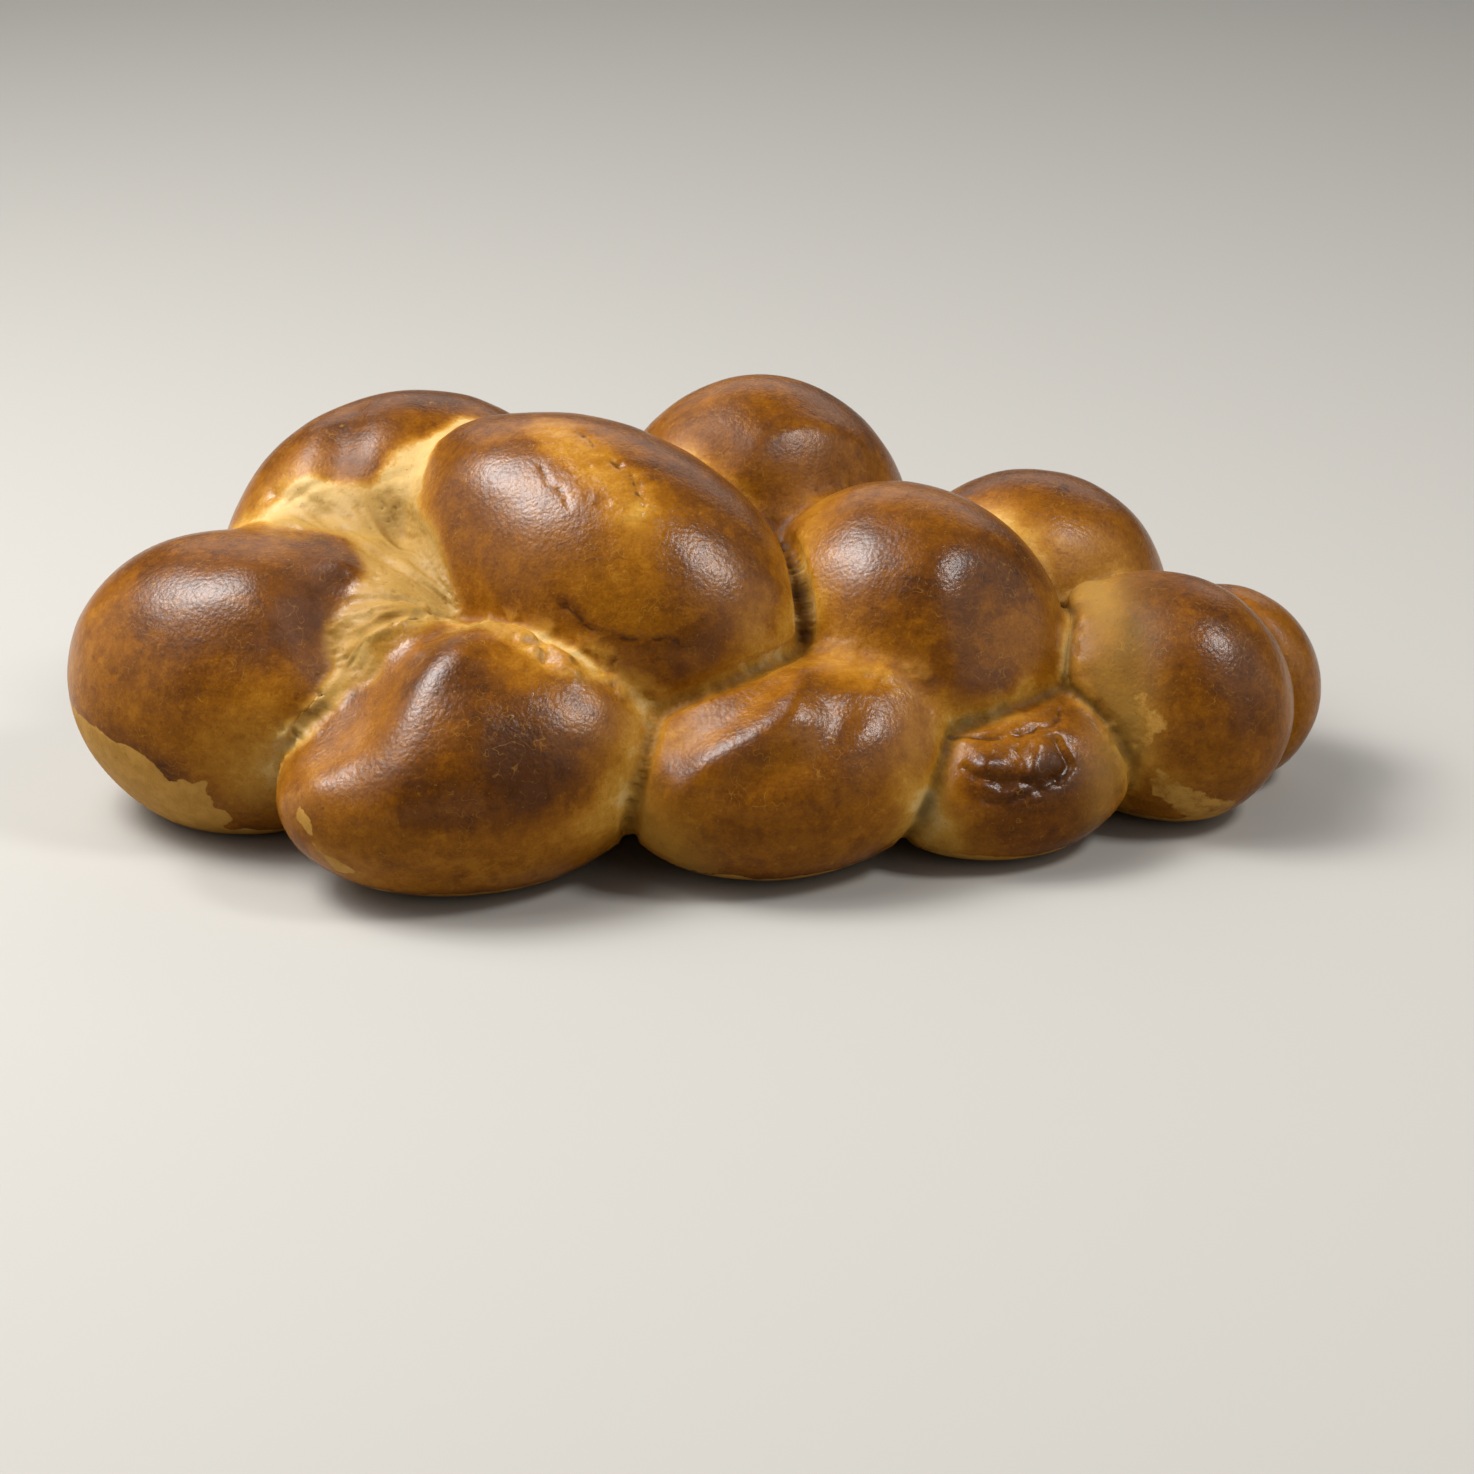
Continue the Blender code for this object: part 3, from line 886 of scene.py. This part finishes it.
def crust_material():
    made = bpy.data.materials.new("baked_crust")
    made.use_nodes = True
    t = Tree(made)
    where = t.add("ShaderNodeTexCoord").outputs["Object"]
    broad = t.noise(where, 24.0, 3.0)
    blotch = t.noise(where, 85.0, 4.0, 0.62)
    grain = t.noise(where, 420.0, 4.0, 0.65)
    speck = t.noise(where, 900.0, 2.0)
    streak = t.noise(where, 150.0, 3.0, 0.6, (0.25, 1.0, 1.0))

    mottle = t.noise(where, 190.0, 5.0, 0.72)
    dust = t.noise(where, 1500.0, 2.0, 0.6)
    bake_and_shade = t.plus(t.attribute("bake_and_shade"), broad, 0.28)
    bake_and_shade = t.plus(bake_and_shade, blotch, 0.34)
    bake_and_shade = t.plus(bake_and_shade, mottle, 0.32)
    bake_and_shade = t.plus(bake_and_shade, streak, 0.26)
    bake_and_shade = t.plus(bake_and_shade, grain, 0.30)
    bake_and_shade = t.plus(bake_and_shade, dust, 0.22)
    wash = t.between(t.noise(t.warped(where, 60.0, 0.010), 46.0, 4.0, 0.6), 0.50, 0.54)
    bake_and_shade = t.plus(bake_and_shade, wash, 0.07)
    bake_and_shade = t.plus(bake_and_shade, t.between(t.noise(where, 130.0, 6.0, 0.75), 0.56, 0.60), -0.07)
    tone = t.ramp(bake_and_shade, CRUST_STEPS)
    # painted sheen: a purplish brown reflection of the lamps mixed into the colour
    painted_sheen = t.math("MULTIPLY", t.attribute("painted_sheen"), t.between(blotch, 0.35, 0.60))
    tone = t.mix(t.math("MULTIPLY", painted_sheen, 0.5), tone, PAINTED_SHEEN_TONE)

    pale = t.attribute("pale")
    edge = t.plus(pale, blotch, 0.5)
    tone = t.mix(t.math("MULTIPLY", t.attribute("drawn"), 0.85), tone, DRAWN_CRUST)
    torn = t.attribute("torn")
    flake = t.between(t.attribute("flakes"), 0.0, 0.3)
    tone = t.mix(t.math("MULTIPLY", torn, t.math("MULTIPLY", flake, 0.5)), tone, TORN_CRUST)
    # painted shade darkens the creases
    tone = t.mix(t.math("MULTIPLY", t.attribute("crease_shade"), 0.95, clamp=True), tone, PAINTED_CREASE_SHADE)
    # painted shade darkens the fan's grooves
    tone = t.mix(t.math("MULTIPLY", t.attribute("fan"), 0.5), tone, PAINTED_GROOVE_SHADE)
    beige_edge = t.plus(t.attribute("beige"), mottle, 0.60)
    unwashed = t.mix(t.between(mottle, 0.35, 0.65), BEIGE_SHADE, BEIGE_CRUST)
    tone = t.mix(t.between(beige_edge, 0.40, 0.56), tone, unwashed)
    # painted shade in the cracks and pits
    crack_shade = t.attribute("crack_shade")
    tone = t.mix(t.between(crack_shade, 0.35, 0.95, 0.0, 0.70), tone, CRACK_SHADOW_AND_SPECK)
    tone = t.mix(t.between(speck, 0.66, 0.74, 0.0, 0.35), tone, CRACK_SHADOW_AND_SPECK)
    tone = t.mix(t.between(speck, 0.34, 0.27, 0.0, 0.20), tone, TORN_CRUST)

    vein = t.math("SUBTRACT", t.noise(t.warped(where, 90.0, 0.004), 240.0, 1.0, 0.5), 0.5)
    vein = t.between(t.math("ABSOLUTE", vein), 0.012, 0.0)
    vein = t.math("MULTIPLY", vein, t.between(blotch, 0.46, 0.60, 0.0, 0.30))
    tone = t.mix(vein, tone, TORN_CRUST)

    dull = t.math("MAXIMUM", t.between(edge, 0.25, 0.8), t.between(beige_edge, 0.40, 0.56))
    dull = t.math("MAXIMUM", dull, t.attribute("matte"))
    dull = t.math("MAXIMUM", dull, t.math("MULTIPLY", torn, 0.9))
    rough = t.math("MULTIPLY_ADD", dull, 0.29, 0.245)
    rough = t.plus(rough, blotch, 0.16)

    domes = t.cells(t.warped(where, 300.0, 0.0012), 780.0)
    relief = t.math("MULTIPLY", domes, -0.55)
    relief = t.plus(relief, t.noise(where, 900.0, 4.0, 0.65), 0.9)
    relief = t.plus(relief, grain, 0.5)
    relief = t.math("MULTIPLY_ADD", t.attribute("lines"), t.math("MULTIPLY", pale, 0.4), relief)
    bump = t.add("ShaderNodeBump")
    bump.inputs["Strength"].default_value = 0.36
    bump.inputs["Distance"].default_value = 0.00035
    t.put(bump.inputs["Height"], relief)

    shader = t.add("ShaderNodeBsdfPrincipled")
    t.put(shader.inputs["Base Color"], tone)
    t.put(shader.inputs["Roughness"], rough)
    t.put(shader.inputs["Specular IOR Level"], t.attribute("gloss"))
    t.put(shader.inputs["Normal"], bump.outputs[0])
    shader.inputs["IOR"].default_value = 1.40
    out = t.add("ShaderNodeOutputMaterial")
    t.put(out.inputs["Surface"], shader.outputs[0])
    return made


def floor_material():
    made = bpy.data.materials.new("studio_floor")
    made.use_nodes = True
    shader = made.node_tree.nodes["Principled BSDF"]
    shader.inputs["Base Color"].default_value = (0.42, 0.402, 0.368, 1.0)
    shader.inputs["Roughness"].default_value = 0.8
    return made


loaf = make_loaf()
loaf.data.materials.append(crust_material())
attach(loaf, "root")
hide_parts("loaf")

# ---------------------------------------------------------------- floor, light and camera

FLOOR_HALF = 6.0
bpy.ops.mesh.primitive_plane_add(size=2 * FLOOR_HALF, location=(0.0, 0.0, 0.0))
floor = bpy.context.object
floor.name = "floor"
floor.data.materials.append(floor_material())

world = bpy.data.worlds.new("studio")
bpy.context.scene.world = world
world.use_nodes = True
world.node_tree.nodes["Background"].inputs["Color"].default_value = (1.0, 1.0, 1.0, 1.0)
world.node_tree.nodes["Background"].inputs["Strength"].default_value = 0.07


def softbox(name, place, size, power):
    lamp = bpy.data.lights.new(name, "AREA")
    lamp.shape = "RECTANGLE"
    lamp.size, lamp.size_y = size
    lamp.energy = power
    made = bpy.data.objects.new(name, lamp)
    made.location = place
    aim = Vector((0.0, 0.0, 0.05)) - Vector(place)
    made.rotation_euler = aim.to_track_quat("-Z", "Y").to_euler()
    bpy.context.scene.collection.objects.link(made)


softbox("softbox_left", (-0.60, 0.02, 0.95), (0.40, 0.40), 9.5)
softbox("softbox_left_halo", (-0.66, 0.02, 1.05), (0.95, 0.95), 12.5)
softbox("softbox_right", (0.64, -0.25, 0.88), (0.21, 0.22), 5.0)
softbox("softbox_back", (0.10, 1.15, 0.72), (1.60, 0.70), 3.0)
softbox("wall_left", (-1.10, -0.10, 0.62), (1.80, 1.30), 4.5)
softbox("wall_right", (1.05, -0.38, 0.55), (1.60, 1.10), 3.4)

CAMERA_PLACE = (0.0, -0.840, 0.407)
CAMERA_DOWN = 24.8
camera = bpy.data.cameras.new("camera")
camera.lens = 80.0
camera.sensor_width = 36.0
viewer = bpy.data.objects.new("camera", camera)
viewer.location = Vector(CAMERA_PLACE) + Vector(shift)
viewer.rotation_euler = (math.radians(90.0 - CAMERA_DOWN), 0.0, 0.0)
bpy.context.scene.collection.objects.link(viewer)
bpy.context.scene.camera = viewer
bpy.context.scene.view_settings.view_transform = "Standard"
